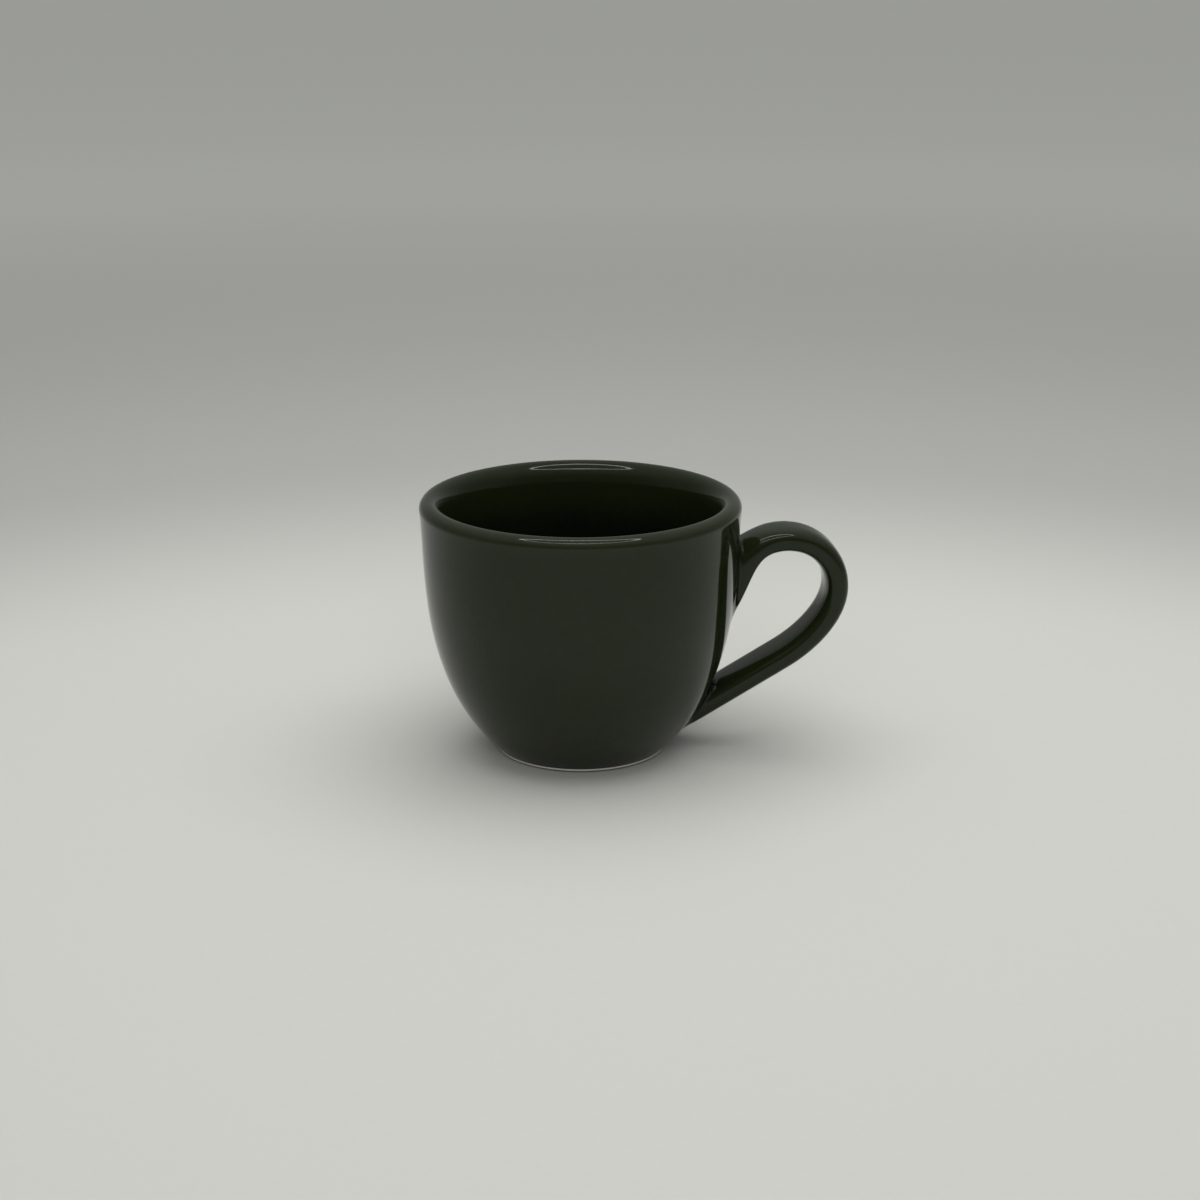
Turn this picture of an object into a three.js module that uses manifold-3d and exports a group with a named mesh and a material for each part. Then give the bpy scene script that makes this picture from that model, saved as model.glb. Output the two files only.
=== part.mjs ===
// Espresso cup in glazed stoneware.
// A round bowl stands on a narrow foot ring that is left bare of glaze. The strap handle is cast by
// itself and stuck on with slip: its upper root flares down the wall, and its lower arm runs down
// to the wall just above the foot.
// Millimetres, +Z up. The cup stands on z = 0 and its handle points along +X. The origin lies on the
// standing plane, under the middle of the whole cup with its handle.

import * as THREE from 'three';
import { mergeVertices } from 'three/addons/utils/BufferGeometryUtils.js';
import Module from 'manifold-3d';

// Bowl
const rimDiameter = 65;
const cupHeight = 52.7;
const wallThickness = 3.9;
const floorThickness = 4;
const wallRiseAtFoot = 43; // degrees above level
const wallPullAtFoot = 22; // length of the curve's arm at the foot
const wallLeanAtLip = 6; // degrees outwards from upright
const wallPullAtLip = 12; // length of the curve's arm at the lip
const floorBlend = 2.5; // height in which the inner wall runs out into the floor

// Foot ring, and the recess that it surrounds
const footDiameter = 34.9;
const ringHeight = 0.8;
const ringWidth = 3.8;
const ringEdge = 0.3;
const recessDepth = 2.2;
const recessBlend = 1.2;

// Strap handle; drops are measured down from the rim, and reaches out from the rim
const strapThickness = 4.8;
const strapWidth = 11;
const strapSquareness = 3.2; // exponent of the oval section, where 2 is an ellipse
const loopReach = 22.2;
const crestReach = 9.6;
const crestDrop = 6.8;
const noseDrop = 19.4;
const rootTopDrop = 9.7;
const rootRise = 28; // degrees above level, where the top face leaves the wall
const rootBottomDrop = 25.6;
const flareLean = 31.3; // degrees from upright, where the flare runs out on the wall
const flarePull = 9.5; // length of the flare curve's arm at the wall
const armJoinHeight = 7.9;
const armSlope = 30.8; // degrees above level
const armLength = 21;
const armEntry = 2.5; // straight run of the arm past the wall's face
const rootDepth = 6; // how far the handle's ends run on inside the wall's face

// Fullness of the handle's curves, as shares of the distance that each curve spans
const rootTopFullness = 0.41;
const rootUnderFullness = 0.7;
const shoulderFullness = 0.56;
const returnFullness = 0.32;

// Slip joints between the handle's ends and the wall
const slipThickness = 0.8;
const slipBead = 0.5; // how far the slip is squeezed out round the handle's end
const castingGap = 0.3;

// Fineness of the solids
const turnSegments = 64;
const wallSteps = 14;
const lipSteps = 5;
const blendSteps = 4;
const edgeSteps = 2;
const strapSteps = 9;
const strapSides = 20;
const weldDistance = 1e-4;
const searchHalvings = 40;

const rimRadius = rimDiameter / 2;
const footRadius = footDiameter / 2;
const ringInnerRadius = footRadius - ringWidth;
const floorLevel = recessDepth + floorThickness;
const halfWall = wallThickness / 2;
const halfStrap = strapThickness / 2;

const wasm = await Module();
wasm.setup();

const point = (x, y) => new THREE.Vector2(x, y);

const heading = (degrees) => {
  const angle = THREE.MathUtils.degToRad(degrees);
  return point(Math.cos(angle), Math.sin(angle));
};

const onward = (start, direction, distance) => start.clone().addScaledVector(direction, distance);

// Outer face of the wall, from the foot up to the side of the lip, as radius and height

const lipCentre = point(rimRadius - halfWall, cupHeight - halfWall);
const footEdge = point(footRadius, ringHeight);
const lipSide = onward(lipCentre, heading(-wallLeanAtLip), halfWall);
const wall = new THREE.CubicBezierCurve(
  footEdge,
  onward(footEdge, heading(wallRiseAtFoot), wallPullAtFoot),
  onward(lipSide, heading(90 - wallLeanAtLip), -wallPullAtLip),
  lipSide,
);

// A point of the wall's face, moved out along the face's normal
const wallPoint = (t, offset) => {
  const { x, y } = wall.getTangent(t);
  return onward(wall.getPoint(t), point(y, -x), offset);
};

// Where the wall's face, or a face at a distance from it, reaches a height
const wallParameterAt = (height, offset) => {
  let low = 0;
  let high = 1;
  for (let halving = 0; halving < searchHalvings; halving += 1) {
    const middle = (low + high) / 2;
    if (wallPoint(middle, offset).y < height) {
      low = middle;
    } else {
      high = middle;
    }
  }
  return low;
};

const wallAtHeight = (height) => wallPoint(wallParameterAt(height, 0), 0);

const wallRun = (from, to, offset) => {
  const run = [];
  for (let step = 0; step <= wallSteps; step += 1) {
    run.push(wallPoint(THREE.MathUtils.lerp(from, to, step / wallSteps), offset));
  }
  return run;
};

// Solids and meshes

// A geometry of positions only, with its seams welded and its empty triangles dropped
const welded = (geometry) => {
  geometry.deleteAttribute('normal');
  geometry.deleteAttribute('uv');
  const shape = mergeVertices(geometry, weldDistance);
  const corners = shape.index.array;
  const kept = [];
  for (let first = 0; first < corners.length; first += 3) {
    const [a, b, c] = corners.slice(first, first + 3);
    if (a !== b && b !== c && c !== a) {
      kept.push(a, b, c);
    }
  }
  shape.setIndex(kept);
  return shape;
};

const solidOf = (geometry) => new wasm.Manifold(new wasm.Mesh({
  numProp: 3,
  vertProperties: new Float32Array(geometry.attributes.position.array),
  triVerts: new Uint32Array(geometry.index.array),
}));

const geometryOf = (solid) => {
  const { numProp, vertProperties, triVerts } = solid.getMesh();
  const geometry = new THREE.BufferGeometry();
  geometry.setAttribute('position', new THREE.Float32BufferAttribute(vertProperties, numProp));
  geometry.setIndex(Array.from(triVerts));
  return geometry;
};

// A profile of radius and height, turned about the cup's axis
const turned = (profile) => {
  const geometry = new THREE.LatheGeometry(profile, turnSegments);
  geometry.rotateX(Math.PI / 2);
  return welded(geometry);
};

const glazed = () => new THREE.MeshStandardMaterial({ color: 0x24261f, roughness: 0.12, metalness: 0 });
const bareClay = () => new THREE.MeshStandardMaterial({ color: 0xb4ada0, roughness: 0.85, metalness: 0 });

const namedMesh = (name, geometry, material) => {
  const shaded = geometry.toNonIndexed();
  shaded.computeVertexNormals();
  const mesh = new THREE.Mesh(shaded, material);
  mesh.name = name;
  return mesh;
};

// Bowl, from the middle of its underside out, up the wall, over the lip and down to the inner floor

const bowlGeometry = () => {
  const underside = new THREE.Path();
  underside.moveTo(0, recessDepth);
  underside.lineTo(ringInnerRadius - recessBlend, recessDepth);
  underside.quadraticCurveTo(ringInnerRadius, recessDepth, ringInnerRadius, ringHeight);

  const lip = new THREE.Path();
  const lipStart = THREE.MathUtils.degToRad(-wallLeanAtLip);
  lip.absarc(lipCentre.x, lipCentre.y, halfWall, lipStart, lipStart + Math.PI);

  const blendStart = wallParameterAt(floorLevel + floorBlend, -wallThickness);
  const inside = wallRun(1, blendStart, -wallThickness);
  const blendTop = inside.at(-1);
  const slope = wall.getTangent(blendStart);
  const corner = point(blendTop.x - (floorBlend * slope.x) / slope.y, floorLevel);
  const floorEdge = point(corner.x - corner.distanceTo(blendTop), floorLevel);
  const blend = new THREE.QuadraticBezierCurve(blendTop, corner, floorEdge);

  return turned([
    ...underside.getPoints(blendSteps),
    ...wallRun(0, 1, 0),
    ...lip.getPoints(lipSteps).slice(1, -1),
    ...inside,
    ...blend.getPoints(blendSteps).slice(1),
    point(0, floorLevel),
  ]);
};

// Foot ring, square where the bowl sits on it and eased where it stands

const footRingGeometry = () => {
  const section = new THREE.Path();
  section.moveTo(ringInnerRadius, ringHeight);
  section.lineTo(ringInnerRadius, ringEdge);
  section.quadraticCurveTo(ringInnerRadius, 0, ringInnerRadius + ringEdge, 0);
  section.lineTo(footRadius - ringEdge, 0);
  section.quadraticCurveTo(footRadius, 0, footRadius, ringEdge);
  section.lineTo(footRadius, ringHeight);
  section.lineTo(ringInnerRadius, ringHeight);
  return turned(section.getPoints(edgeSteps));
};

// Handle, in the plane through the cup's axis; every station pairs a point of the outer face of
// the strap with one of its inner face

const level = (drop) => cupHeight - drop;

const crestMiddle = point(rimRadius + crestReach, level(crestDrop) - halfStrap);
const noseMiddle = point(rimRadius + loopReach - halfStrap, level(noseDrop));
const armJoin = wallAtHeight(armJoinHeight);
const armHeading = heading(armSlope);
const armStart = onward(armJoin, armHeading, armLength);

// Stations along a curve, at half the strap's thickness to each side
const strapStations = (curve, steps) => {
  const stations = [];
  for (let step = 0; step <= steps; step += 1) {
    const middle = curve.getPoint(step / steps);
    const along = curve.getTangent(step / steps);
    const outwards = point(-along.y, along.x);
    stations.push({
      outer: onward(middle, outwards, halfStrap),
      inner: onward(middle, outwards, -halfStrap),
    });
  }
  return stations;
};

// Upper root: the top face rises straight out of the wall, and the under face flares down it
const rootStations = () => {
  const topFoot = wallAtHeight(level(rootTopDrop));
  const rise = heading(rootRise);
  const crestTop = onward(crestMiddle, point(0, 1), halfStrap);
  const topPull = (crestTop.x - topFoot.x) * rootTopFullness;
  const topFace = new THREE.CubicBezierCurve(
    topFoot,
    onward(topFoot, rise, topPull),
    onward(crestTop, point(-1, 0), topPull),
    crestTop,
  );
  const flareFoot = wallAtHeight(level(rootBottomDrop));
  const flareRise = heading(90 - flareLean);
  const crestUnder = onward(crestMiddle, point(0, -1), halfStrap);
  const crestPull = (crestUnder.x - flareFoot.x) * rootUnderFullness;
  const underFace = new THREE.CubicBezierCurve(
    flareFoot,
    onward(flareFoot, flareRise, flarePull),
    onward(crestUnder, point(-1, 0), crestPull),
    crestUnder,
  );
  const stations = [{
    outer: onward(topFoot, rise, -rootDepth),
    inner: onward(flareFoot, flareRise, -rootDepth),
  }];
  for (let step = 0; step < strapSteps; step += 1) {
    stations.push({
      outer: topFace.getPoint(step / strapSteps),
      inner: underFace.getPoint(step / strapSteps),
    });
  }
  return stations;
};

// Loop: over the crest, round the nose and back to the straight arm
const loopStations = () => {
  const noseSpan = noseMiddle.x - crestMiddle.x;
  const crestSpan = crestMiddle.y - noseMiddle.y;
  const shoulder = new THREE.CubicBezierCurve(
    crestMiddle,
    onward(crestMiddle, point(1, 0), noseSpan * shoulderFullness),
    onward(noseMiddle, point(0, 1), crestSpan * shoulderFullness),
    noseMiddle,
  );
  const returnPull = noseMiddle.distanceTo(armStart) * returnFullness;
  const turnBack = new THREE.CubicBezierCurve(
    noseMiddle,
    onward(noseMiddle, point(0, -1), returnPull),
    onward(armStart, armHeading, returnPull),
    armStart,
  );
  return [
    ...strapStations(shoulder, strapSteps).slice(0, -1),
    ...strapStations(turnBack, strapSteps).slice(0, -1),
  ];
};

// Lower arm: straight to the wall, then turned in towards the bowl
const armStations = () => {
  const armEnd = onward(armJoin, armHeading, -armEntry);
  const turnedIn = heading(armSlope / 2);
  const rootEnd = onward(armEnd, turnedIn, -rootDepth);
  return [
    ...strapStations(new THREE.LineCurve(armStart, armEnd), 2),
    ...strapStations(new THREE.LineCurve(armEnd, rootEnd), 1).slice(1),
  ];
};

// Oval sections through the stations, grown all round by a bead, skinned and capped
const skinned = (stations, bead) => {
  const rounded = (value) => Math.sign(value) * Math.abs(value) ** (2 / strapSquareness);
  const corners = [];
  const triangles = [];
  for (const { outer, inner } of stations) {
    const middle = outer.clone().lerp(inner, 0.5);
    const across = outer.clone().sub(middle);
    across.setLength(across.length() + bead);
    for (let side = 0; side < strapSides; side += 1) {
      const angle = (2 * Math.PI * side) / strapSides;
      const spot = onward(middle, across, rounded(Math.cos(angle)));
      corners.push(spot.x, (strapWidth / 2 + bead) * rounded(Math.sin(angle)), spot.y);
    }
  }
  const last = (stations.length - 1) * strapSides;
  for (let side = 0; side < strapSides; side += 1) {
    const next = (side + 1) % strapSides;
    for (let ring = 0; ring < last; ring += strapSides) {
      triangles.push(ring + side, ring + strapSides + side, ring + next);
      triangles.push(ring + next, ring + strapSides + side, ring + strapSides + next);
    }
    if (side > 0 && next > 0) {
      triangles.push(0, side, next);
      triangles.push(last, last + next, last + side);
    }
  }
  const geometry = new THREE.BufferGeometry();
  geometry.setAttribute('position', new THREE.Float32BufferAttribute(corners, 3));
  geometry.setIndex(triangles);
  return solidOf(geometry);
};

// Everything inside a face that lies at a distance from the outside of the wall
const insideFace = (offset) => {
  const face = wallRun(0, 1, offset);
  return solidOf(turned([point(0, face[0].y), ...face, point(0, face.at(-1).y)]));
};

const handleGeometry = () => {
  const strap = skinned([...rootStations(), ...loopStations(), ...armStations()], 0);
  return geometryOf(strap.subtract(insideFace(castingGap + slipThickness + castingGap)));
};

// Slip squeezed between an end of the handle and the wall
const slipGeometry = (stations) => {
  const layer = insideFace(castingGap + slipThickness).subtract(insideFace(castingGap));
  return geometryOf(layer.intersect(skinned(stations, slipBead)));
};

const cup = new THREE.Group();
cup.add(namedMesh('bowl', bowlGeometry(), glazed()));
cup.add(namedMesh('foot_ring', footRingGeometry(), bareClay()));
cup.add(namedMesh('handle', handleGeometry(), glazed()));
cup.add(namedMesh('upper_slip_joint', slipGeometry(rootStations()), glazed()));
cup.add(namedMesh('lower_slip_joint', slipGeometry(armStations()), glazed()));
cup.position.x = -loopReach / 2;

const part = new THREE.Group();
part.add(cup);

export default part;
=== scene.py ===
import math

import bmesh
import bpy
import numpy as np
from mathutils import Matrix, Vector


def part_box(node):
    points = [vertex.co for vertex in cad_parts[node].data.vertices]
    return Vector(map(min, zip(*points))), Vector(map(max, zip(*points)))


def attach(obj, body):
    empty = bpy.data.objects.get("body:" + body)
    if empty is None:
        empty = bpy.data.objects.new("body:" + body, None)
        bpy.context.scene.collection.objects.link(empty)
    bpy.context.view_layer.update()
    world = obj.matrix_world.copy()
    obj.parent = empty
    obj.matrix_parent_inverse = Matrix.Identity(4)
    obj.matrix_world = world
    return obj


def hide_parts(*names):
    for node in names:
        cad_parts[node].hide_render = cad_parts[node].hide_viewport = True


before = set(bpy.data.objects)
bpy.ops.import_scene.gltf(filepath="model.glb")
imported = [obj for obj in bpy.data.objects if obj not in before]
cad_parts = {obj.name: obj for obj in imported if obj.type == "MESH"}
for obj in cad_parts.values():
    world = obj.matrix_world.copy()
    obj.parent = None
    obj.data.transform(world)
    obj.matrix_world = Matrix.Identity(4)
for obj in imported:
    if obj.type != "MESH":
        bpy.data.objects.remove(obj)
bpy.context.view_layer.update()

# Espresso cup in dark olive glaze: a turned bowl on a bare foot ring, and a strap handle that is
# stuck on with slip. Metres; the cup's axis is upright, and the handle points along +X.

MM = 0.001
bowl_low, bowl_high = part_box("bowl")
ring_low, ring_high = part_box("foot_ring")
strap_low, strap_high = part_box("handle")

# Sizes that the frame holds
axis_x = (ring_low.x + ring_high.x) / 2
rim_radius = (bowl_high.y - bowl_low.y) / 2
cup_height = bowl_high.z
foot_radius = (ring_high.y - ring_low.y) / 2
glaze_line = ring_high.z
strap_width = strap_high.y - strap_low.y
crest_height = strap_high.z
nose_reach = strap_high.x - axis_x

# Bowl
wall_thickness = 3.9 * MM
lip_roll = 2.9 * MM
lip_wall = 4.8 * MM
floor_level = 6.2 * MM
floor_rounding = 5 * MM
wall_rise = math.radians(43)
foot_pull = 22 * MM
lip_lean = math.radians(6)
lip_pull = 12 * MM
recess_height = 2.2 * MM
recess_rounding = 1.2 * MM
glaze_bead = 0.35 * MM
# Share down the inner wall where its darkening is full: pooled glaze and painted shade
deep_pool_and_shade_from = 0.22
# Share up the outer wall over which its lighter colour near the foot fades: thin glaze and painted
# floor light
thin_glaze_and_floor_light_to = 0.45
even_wall_from = 0.6
round_pull = 0.55  # pull of a curve's arms that rounds a corner about like a quarter of an ellipse

# Depth of the glaze over the bowl, from 0 where it runs thin to 1 where it pools; inside the cup the
# pooled depth also stands for painted shade, darker further down
recess_glaze = 0.6
recess_corner_glaze = 0.8
seat_glaze = 0.5
bead_glaze = 0.75
# Lighter near the foot: thin glaze and painted light from the pale floor
foot_glaze_and_floor_light = 0.25
wall_glaze = 0.5
lip_glaze = 0.1
roll_glaze = 0.55
# Inside the cup: pooled glaze and painted shade, darker further down
pooled_and_shaded_glaze = 1.0
no_glaze = 0.0
bowl_softening = 14
ring_softening = 1

# Foot ring
ring_width = 3.8 * MM
ring_edge = 0.4 * MM
ring_undercut = 1.6 * MM
ring_inset = 0.12 * MM
ring_sunk = 0.6 * MM
# Painted contact shade: a dark band in the bare clay's colour along the ring's lowest outer edge, where
# it stands on the table
contact_shade_full_below = 0.32 * MM
contact_shade_gone_above = 0.48 * MM
contact_shade_full_outside = foot_radius - 0.6 * MM
contact_shade_gone_inside = foot_radius - 1.3 * MM
contact_shade_share = 0.9
contact_shade_tone = (0.03, 0.03, 0.027, 1)

# Strap handle
strap_thickness = 4.8 * MM
strap_squareness = 3.2
crest_reach = 42.1 * MM
nose_height = 33.3 * MM
root_top = 43 * MM
root_rise = math.radians(28)
root_bottom = 27.1 * MM
flare_rise = math.radians(58.7)
flare_pull = 9.5 * MM
arm_join = 7.9 * MM
arm_slope = math.radians(30.8)
arm_length = 21 * MM
arm_entry = 2.5 * MM
root_depth = 8 * MM
root_top_fullness = 0.41
root_under_fullness = 0.7
shoulder_fullness = 0.56
return_fullness = 0.32
strap_easing = 1.2 * MM
strap_sunk = 2 * MM

# Glaze on the handle: it thins over bends, which are measured per millimetre, and gathers in hollows
thins_from_bend = 0.25
thins_over_bends = 0.6
edge_thinning = 0.35
hollow_gathering = 0.4

# Slip, squeezed out round the ends of the handle and smoothed down to the wall: the length of
# the smoothing over the strap, at its two flanks and under it
upper_slip = {"over": 1.2 * MM, "flank": 1.8 * MM, "under": 2.4 * MM}
lower_slip = {"over": 2.6 * MM, "flank": 1.8 * MM, "under": 4.5 * MM}
slip_sunk = 0.6 * MM
slip_hidden_share = 0.8

# Fineness of the meshes
turn_segments = 192
strap_columns = 72
strap_rows = 180
slip_rows = 12
weld_distance = 0.002 * MM
curve_resolution = 400
roll_resolution = 120
arc_resolution = 96
bend_resolution = 64
recess_steps = 24
recess_corner_steps = 10
seat_steps = 6
bead_steps = 6
wall_steps = 110
lip_steps = 16
roll_steps = 26
slant_steps = 18
floor_steps = 16
ring_side_steps = 6
ring_edge_steps = 8
ring_stand_steps = 16
undercut_steps = 12
ring_top_steps = 4
wall_samples = 4001
section_samples = 4001
edge_samples = 240
middle_samples = 1200
root_samples = 60
easing_reach = 3


class Bench:
    """Places the nodes of a tree and wires them, from plain values or from sockets."""

    def __init__(self, tree):
        self.tree = tree

    def put(self, kind, wires=None, **settings):
        node = self.tree.nodes.new(kind)
        for name, value in settings.items():
            setattr(node, name, value)
        for key, value in (wires or {}).items():
            self.wire(value, node.inputs[key])
        return node

    def wire(self, value, socket):
        if isinstance(value, Amount):
            value = value.socket
        if isinstance(value, bpy.types.NodeSocket):
            self.tree.links.new(value, socket)
        else:
            socket.default_value = value

    def spot(self, radius, height):
        """A point of a profile, from its distance to the axis and its height."""
        return self.put("ShaderNodeCombineXYZ", {"X": radius, "Z": height}).outputs["Vector"]


class Amount:
    """A number inside a node tree, whose arithmetic places Math nodes."""

    def __init__(self, bench, socket):
        self.bench = bench
        self.socket = socket

    def reckon(self, operation, *others):
        wires = dict(enumerate((self, *others)))
        node = self.bench.put("ShaderNodeMath", wires, operation=operation)
        return Amount(self.bench, node.outputs[0])

    def __add__(self, other):
        return self.reckon("ADD", other)

    def __sub__(self, other):
        return self.reckon("SUBTRACT", other)

    def __mul__(self, other):
        return self.reckon("MULTIPLY", other)

    def __truediv__(self, other):
        return self.reckon("DIVIDE", other)

    def cos(self):
        return self.reckon("COSINE")

    def sin(self):
        return self.reckon("SINE")


def eased_share(amount, start, end):
    """From 0 at the start to 1 at the end, with soft changes."""
    share = ((amount - start) / (end - start)).reckon("MINIMUM", 1.0).reckon("MAXIMUM", 0.0)
    return share * share * (share * -2.0 + 3.0)


def new_tree(name, kind, inputs, outputs):
    """A node tree with named sockets; gives its bench, its inputs by name and its output node."""
    tree = bpy.data.node_groups.new(name, kind)
    bench = Bench(tree)
    for label, socket_type in inputs.items():
        tree.interface.new_socket(label, in_out="INPUT", socket_type=socket_type)
    for label, socket_type in outputs.items():
        tree.interface.new_socket(label, in_out="OUTPUT", socket_type=socket_type)
    source = bench.put("NodeGroupInput")
    given = {label: Amount(bench, source.outputs[label]) for label in inputs}
    return bench, given, bench.put("NodeGroupOutput")


LENGTH = "NodeSocketFloat"
COUNT = "NodeSocketInt"
SHAPE = "NodeSocketGeometry"
STUFF = "NodeSocketMaterial"
COLOUR = "NodeSocketColor"
PLACE = "NodeSocketVector"


# Turned pieces

def profile_spot(bench, shape, index):
    """The place of one point of a profile."""
    position = bench.put("GeometryNodeInputPosition").outputs["Position"]
    return bench.put("GeometryNodeSampleIndex", {
        "Geometry": shape, "Value": position, "Index": index},
        data_type="FLOAT_VECTOR").outputs["Value"]


def lathe_tree():
    """Turns the points of a profile, in their order, about an upright axis."""
    bench, given, result = new_tree(
        "turn on the wheel", "GeometryNodeTree",
        {"Profile": SHAPE, "Axis X": LENGTH, "Segments": COUNT}, {"Turned": SHAPE})
    size = bench.put("GeometryNodeAttributeDomainSize", {"Geometry": given["Profile"]},
                     component="CURVE")
    columns = given["Segments"] + 1
    grid = bench.put("GeometryNodeMeshGrid",
                     {"Vertices X": size.outputs["Point Count"], "Vertices Y": columns})
    index = Amount(bench, bench.put("GeometryNodeInputIndex").outputs["Index"])
    row = (index / columns).reckon("FLOOR")
    turn = (index - row * columns) / given["Segments"] * math.tau
    parts = bench.put("ShaderNodeSeparateXYZ",
                      {"Vector": profile_spot(bench, given["Profile"], row)})
    radius = Amount(bench, parts.outputs["X"])
    place = bench.put("ShaderNodeCombineXYZ", {
        "X": radius * turn.cos() + given["Axis X"], "Y": radius * turn.sin(),
        "Z": parts.outputs["Z"]})
    turned = bench.put("GeometryNodeSetPosition",
                       {"Geometry": grid.outputs["Mesh"], "Position": place.outputs["Vector"]})
    depth = bench.put("GeometryNodeInputNamedAttribute", {"Name": "glaze_depth"})
    profile_depth = bench.put("GeometryNodeSampleIndex", {
        "Geometry": given["Profile"], "Value": depth.outputs["Attribute"], "Index": row})
    marked = bench.put("GeometryNodeStoreNamedAttribute", {
        "Geometry": turned.outputs["Geometry"], "Name": "glaze_depth",
        "Value": profile_depth.outputs["Value"]})
    closed = bench.put("GeometryNodeMergeByDistance",
                       {"Geometry": marked.outputs["Geometry"], "Distance": weld_distance})
    smooth = bench.put("GeometryNodeSetShadeSmooth", {"Geometry": closed.outputs["Geometry"]})
    bench.wire(smooth.outputs["Geometry"], result.inputs["Turned"])
    return bench.tree


class Profile:
    """The stretches of a turned piece's profile, one after another."""

    def __init__(self, bench):
        self.bench = bench
        self.stretches = []

    def add(self, curve, steps, depth, offset=None):
        even = self.bench.put("GeometryNodeResampleCurve", {"Curve": curve, "Count": steps})
        shape = even.outputs["Curve"]
        if offset is not None:
            moved = self.bench.put("GeometryNodeSetPosition", {"Geometry": shape, "Offset": offset})
            shape = moved.outputs["Geometry"]
        marked = self.bench.put("GeometryNodeStoreNamedAttribute", {
            "Geometry": shape, "Name": "glaze_depth", "Value": depth})
        self.stretches.append(marked.outputs["Geometry"])

    def line(self, start, end, steps, depth):
        curve = self.bench.put("GeometryNodeCurvePrimitiveLine", {"Start": start, "End": end})
        self.add(curve.outputs["Curve"], steps, depth)

    def bend(self, start, corner, end, steps, depth):
        curve = self.bench.put("GeometryNodeCurveQuadraticBezier", {
            "Resolution": bend_resolution, "Start": start, "Middle": corner, "End": end})
        self.add(curve.outputs["Curve"], steps, depth)

    def arc(self, radius, height, size, start, sweep, steps, depth):
        """A round of the profile about a point, from a starting angle above level."""
        curve = self.bench.put("GeometryNodeCurveArc", {
            "Resolution": arc_resolution, "Radius": size, "Start Angle": start,
            "Sweep Angle": sweep})
        upright = self.bench.put("GeometryNodeTransform", {
            "Geometry": curve.outputs["Curve"], "Rotation": (math.pi / 2, 0, 0),
            "Translation": self.bench.spot(radius, height)})
        self.add(upright.outputs["Geometry"], steps, depth)

    def joined(self):
        join = self.bench.put("GeometryNodeJoinGeometry")
        for stretch in reversed(self.stretches):
            self.bench.wire(stretch, join.inputs["Geometry"])
        return join.outputs["Geometry"]


def turned_on(bench, lathe, profile, given, result, softening):
    turned = bench.tree.nodes.new("GeometryNodeGroup")
    turned.node_tree = lathe
    bench.wire(profile, turned.inputs["Profile"])
    bench.wire(given["Axis X"], turned.inputs["Axis X"])
    bench.wire(given["Segments"], turned.inputs["Segments"])
    depth = bench.put("GeometryNodeInputNamedAttribute", {"Name": "glaze_depth"})
    soft = bench.put("GeometryNodeBlurAttribute",
                     {"Value": depth.outputs["Attribute"], "Iterations": softening})
    marked = bench.put("GeometryNodeStoreNamedAttribute", {
        "Geometry": turned.outputs["Turned"], "Name": "glaze_depth", "Value": soft.outputs["Value"]})
    real = bench.put("GeometryNodeRealizeInstances", {"Geometry": marked.outputs["Geometry"]})
    dressed = bench.put("GeometryNodeSetMaterial",
                        {"Geometry": real.outputs["Geometry"], "Material": given["Material"]})
    bench.wire(dressed.outputs["Geometry"], result.inputs["Piece"])


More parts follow.
